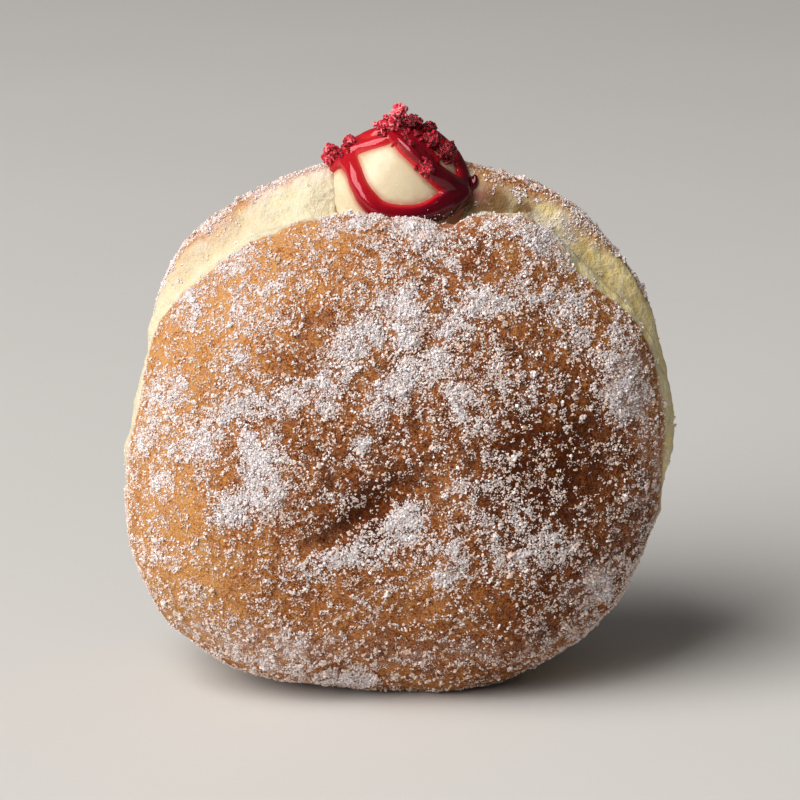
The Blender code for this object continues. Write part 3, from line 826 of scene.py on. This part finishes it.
def crumbled(piece, darkness, material):
    """Gives a raspberry piece its sharp ridges and its colours."""
    melted(piece, RASPBERRY_VOXEL, 1)
    mesh = piece.data
    places, normals = corners(mesh), outward(mesh)
    crest = 0.5 * ridged(places, 0.85 * MM, 3.0) + 0.5 * ridged(places, 0.42 * MM, 7.0)
    move_corners(mesh, places + normals * (0.36 * MM * (crest - 0.4))[:, None])
    # The ridge value paints light: low in the hollows, as painted shade, and high on the crests, partly pale dusty
    # colour and partly painted highlight.
    write_attribute(mesh, "ridge", 0.12 + 0.95 * crest**1.7)
    write_attribute(mesh, "dark", np.full(len(places), darkness))
    mesh.materials.append(material)
    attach(piece, "root")


def made_raspberries(jam):
    rng = np.random.default_rng(11)
    material = raspberry_look()
    for node, darkness in RASPBERRY_DARKNESS.items():
        low, high = (np.array(corner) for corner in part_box(node))
        shape = raspberry_lump((low + high) / 2, (high - low) / 2, rng)
        piece = new_piece(node + "_bit", shape)
        crumbled(piece, darkness, material)
        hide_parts(node)
    shape = bmesh.new()
    for bearing, rise, spread, count in CRUMB_PATCHES:
        for _ in range(count):
            turn, climb = rng.normal((bearing, rise), spread)
            radius = rng.uniform(*CRUMB_SIZES) * MM
            start = on_dollop(turn, climb, 8 * MM)
            met, place, _, _ = jam.ray_cast(start, Vector(DOLLOP_CENTRE) - start)
            add_crumb(shape, place if met else on_dollop(turn, climb, 0), radius, rng)
    crumbled(new_piece("raspberry_crumbs", shape), 0.28, material)


# ---------------------------------------------------------------- sugar


def grain_template(kind):
    """The corners and three-cornered faces of one grain, about 1 across."""
    shape = bmesh.new()
    if kind == "block":
        bmesh.ops.create_cube(shape, size=0.8)
    elif kind == "chip":
        bmesh.ops.create_uvsphere(shape, u_segments=4, v_segments=2, radius=0.6)
    else:
        bmesh.ops.create_cone(shape, segments=3, radius1=0.55, radius2=0, depth=0.9, cap_ends=True)
    bmesh.ops.triangulate(shape, faces=shape.faces)
    bmesh.ops.recalc_face_normals(shape, faces=shape.faces)
    shape.verts.index_update()
    points = np.array([vertex.co for vertex in shape.verts])
    faces = np.array([[vertex.index for vertex in face.verts] for face in shape.faces])
    shape.free()
    return points, faces


def random_turns(count, rng):
    """Rotation matrices, evenly random."""
    w, x, y, z = (rng.normal(size=(count, 4)) / 1.0).T
    size = np.sqrt(w * w + x * x + y * y + z * z)
    w, x, y, z = w / size, x / size, y / size, z / size
    rows = (
        1 - 2 * (y * y + z * z), 2 * (x * y - z * w), 2 * (x * z + y * w),
        2 * (x * y + z * w), 1 - 2 * (x * x + z * z), 2 * (y * z - x * w),
        2 * (x * z - y * w), 2 * (y * z + x * w), 1 - 2 * (x * x + y * y),
    )
    return np.stack(rows, axis=1).reshape(-1, 3, 3)


def sugar_grains(name, kind, clusters, cluster, sizes, spread, dough, rng, material, heap=0.0):
    """One piece of many grains in small clusters on the dough, thicker where the sugar drifted."""
    points, faces, thickness, crust, weight = dough
    a, b, c = (points[faces[:, corner]] for corner in range(3))
    cross = np.cross(b - a, c - a)
    area = np.linalg.norm(cross, axis=1) / 2
    chance = area * weight**spread
    chosen = rng.choice(len(faces), size=clusters, p=chance / chance.sum())
    u, v = rng.random((2, clusters))
    over = u + v > 1
    u, v = np.where(over, 1 - u, u), np.where(over, 1 - v, v)
    a, b, c = a[chosen], b[chosen], c[chosen]
    spots = a + u[:, None] * (b - a) + v[:, None] * (c - a)
    normals = cross[chosen] / (2 * area[chosen][:, None])
    count = clusters * cluster
    chosen, spots, normals = (np.repeat(values, cluster, axis=0) for values in (chosen, spots, normals))
    aside = rng.normal(0, CLUSTER_SPREAD, (count, 3))
    spots += aside - (aside * normals).sum(axis=1, keepdims=True) * normals
    size = (sizes[0] + (sizes[1] - sizes[0]) * rng.random(count) ** 2) * MM
    pile = (thickness[chosen] ** 2 * 0.35 * MM + heap) * rng.random(count)
    spots = spots + normals * (0.22 * size + pile)[:, None]
    keep = spots[:, 2] > 0.8 * size
    keep &= np.linalg.norm((spots - DOLLOP_CENTRE) / (DOLLOP + 0.3 * MM), axis=1) > 1
    # Painted light: thin, scattered grains get duller, warmer colours for the crust-coloured light through and
    # between them; thick drifts and the pale band get whiter ones.
    shade = 0.75 * rng.random(count) + 0.65 * thickness[chosen] + 0.5 * (1 - crust[chosen])
    return grain_piece(name, kind, spots[keep], size[keep], np.clip(shade[keep], 0, 1), rng, material)


def grain_piece(name, kind, spots, size, shade, rng, material):
    """One piece of many grains, each stretched and turned at random."""
    corners_of, faces_of = grain_template(kind)
    stretch = rng.uniform(0.55, 1.4, (len(spots), 1, 3))
    grains = corners_of[None] * stretch * size[:, None, None]
    grains = np.einsum("nij,nkj->nki", random_turns(len(spots), rng), grains) + spots[:, None]
    first = np.arange(len(spots))[:, None, None] * len(corners_of)
    mesh = bpy.data.meshes.new(name)
    mesh.from_pydata(grains.reshape(-1, 3), [], (faces_of[None] + first).reshape(-1, 3))
    write_attribute(mesh, "shade", np.repeat(shade, len(corners_of)))
    piece = placed(name, mesh, material, smooth=False)
    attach(piece, "root")
    return piece


def sugar_on_jam(jam, rng, material):
    """Loose grains that stuck to the jam."""
    spots = []
    for bearing, rise, spread, count in JAM_SUGAR:
        for _ in range(count):
            turn, climb = rng.normal((bearing, rise), (spread, 0.4 * spread))
            start = on_dollop(turn, climb, 8 * MM)
            met, place, _, _ = jam.ray_cast(start, Vector(DOLLOP_CENTRE) - start)
            if met:
                spots.append(place)
    size = rng.uniform(*JAM_SUGAR_SIZES, len(spots)) * MM
    shade = rng.uniform(0.3, 0.8, len(spots))
    grain_piece("sugar_on_jam", "chip", np.array(spots), size, shade, rng, material)


def made_sugar(dough, jam):
    rng = np.random.default_rng(5)
    mesh = dough.data
    mesh.calc_loop_triangles()
    faces = np.empty(len(mesh.loop_triangles) * 3, dtype=np.int64)
    mesh.loop_triangles.foreach_get("vertices", faces)
    faces = faces.reshape(-1, 3)
    points = corners(mesh)
    middles = points[faces].mean(axis=1)
    thickness = sugar_thickness(middles)
    crust = crust_share(middles)
    weight = (0.02 + thickness ** 1.35) * (0.012 + 0.988 * np.maximum(crust**2, band_drift(middles)))
    weight *= 1 - 0.5 * smooth_step(0, 10 * MM, middles[:, 1])
    in_mouth = bell(middles[:, 0], 11 * MM) * bell(middles[:, 1] + 2 * MM, 6 * MM) * (middles[:, 2] > 70 * MM)
    weight *= 1 - 0.9 * np.clip(in_mouth, 0, 1)
    surface = (points, faces, thickness, crust, weight)
    material = sugar_look()
    sugar_grains("sugar_blocks", "block", 5000, 3, (0.22, 0.48), 0.9, surface, rng, material)
    sugar_grains("sugar_lumps", "block", 250, 12, (0.28, 0.58), 0.6, surface, rng, material, LUMP_HEAP)
    sugar_grains("sugar_chips", "chip", 6100, 4, (0.22, 0.44), 1.0, surface, rng, material)
    sugar_grains("sugar_flakes", "splinter", 9800, 5, (0.24, 0.46), 0.9, surface, rng, material)
    sugar_grains("sugar_splinters", "splinter", 8100, 6, (0.18, 0.40), 1.1, surface, rng, material)
    sugar_grains("sugar_specks", "splinter", 9400, 5, (0.12, 0.28), 1.2, surface, rng, material)
    sugar_on_jam(jam, rng, material)


# ---------------------------------------------------------------- studio


def made_floor():
    shape = bmesh.new()
    bmesh.ops.create_grid(shape, x_segments=1, y_segments=1, size=3)
    look = Look("pale_floor", Roughness=0.6, Specular_IOR_Level=0.2)
    colour = look.ramp(look.noise(0.15, 2, 0.5), (0.3, (0.612, 0.607, 0.592)), (0.7, (0.628, 0.623, 0.608)))
    floor = new_piece("floor", shape, look.finish(colour=colour), smooth=False)


def made_light(name, place, aim, width, height, watts, colour=(1, 1, 1)):
    light = bpy.data.lights.new(name, "AREA")
    light.shape = "RECTANGLE"
    light.size, light.size_y = width, height
    light.energy = watts
    light.color = colour
    lamp = bpy.data.objects.new(name, light)
    lamp.location = place
    lamp.rotation_euler = (Vector(aim) - Vector(place)).to_track_quat("-Z", "Y").to_euler()
    bpy.context.scene.collection.objects.link(lamp)


def made_studio():
    middle = Vector((0, 0, 0.045))
    turn, climb, away = math.radians(-50), math.radians(41), 2.4
    key = middle + away * Vector((
        math.cos(climb) * math.sin(turn), -math.cos(climb) * math.cos(turn), math.sin(climb)
    ))
    made_light("key_softbox", key, middle, 1.9, 2.5, 110, (1.0, 0.965, 0.93))
    world = bpy.data.worlds.new("studio")
    world.use_nodes = True
    background = world.node_tree.nodes["Background"]
    background.inputs["Color"].default_value = (1.0, 0.98, 0.96, 1)
    background.inputs["Strength"].default_value = 0.10
    bpy.context.scene.world = world


def made_camera():
    """Level with the photographer's eye: 15 degrees above the floor, square on."""
    climb = math.radians(15)
    away = 0.56
    aim = Vector((0.0001, 0.0002, 0.043))
    up = Vector((0, math.sin(climb), math.cos(climb)))
    back = Vector((0, -math.cos(climb), math.sin(climb)))
    lens = bpy.data.cameras.new("camera")
    lens.lens = 149.6
    lens.sensor_width = 36
    lens.clip_start = 0.01
    camera = bpy.data.objects.new("camera", lens)
    camera.location = aim + away * back + 0.00516 * up
    camera.rotation_euler = (math.radians(90) - climb, 0, 0)
    bpy.context.scene.collection.objects.link(camera)
    bpy.context.scene.camera = camera


dough = made_dough()
jam = made_jam()
made_custard(dough, jam)
made_raspberries(jam)
made_sugar(dough, jam)
made_floor()
made_studio()
made_camera()
bpy.context.scene.view_settings.view_transform = "Standard"
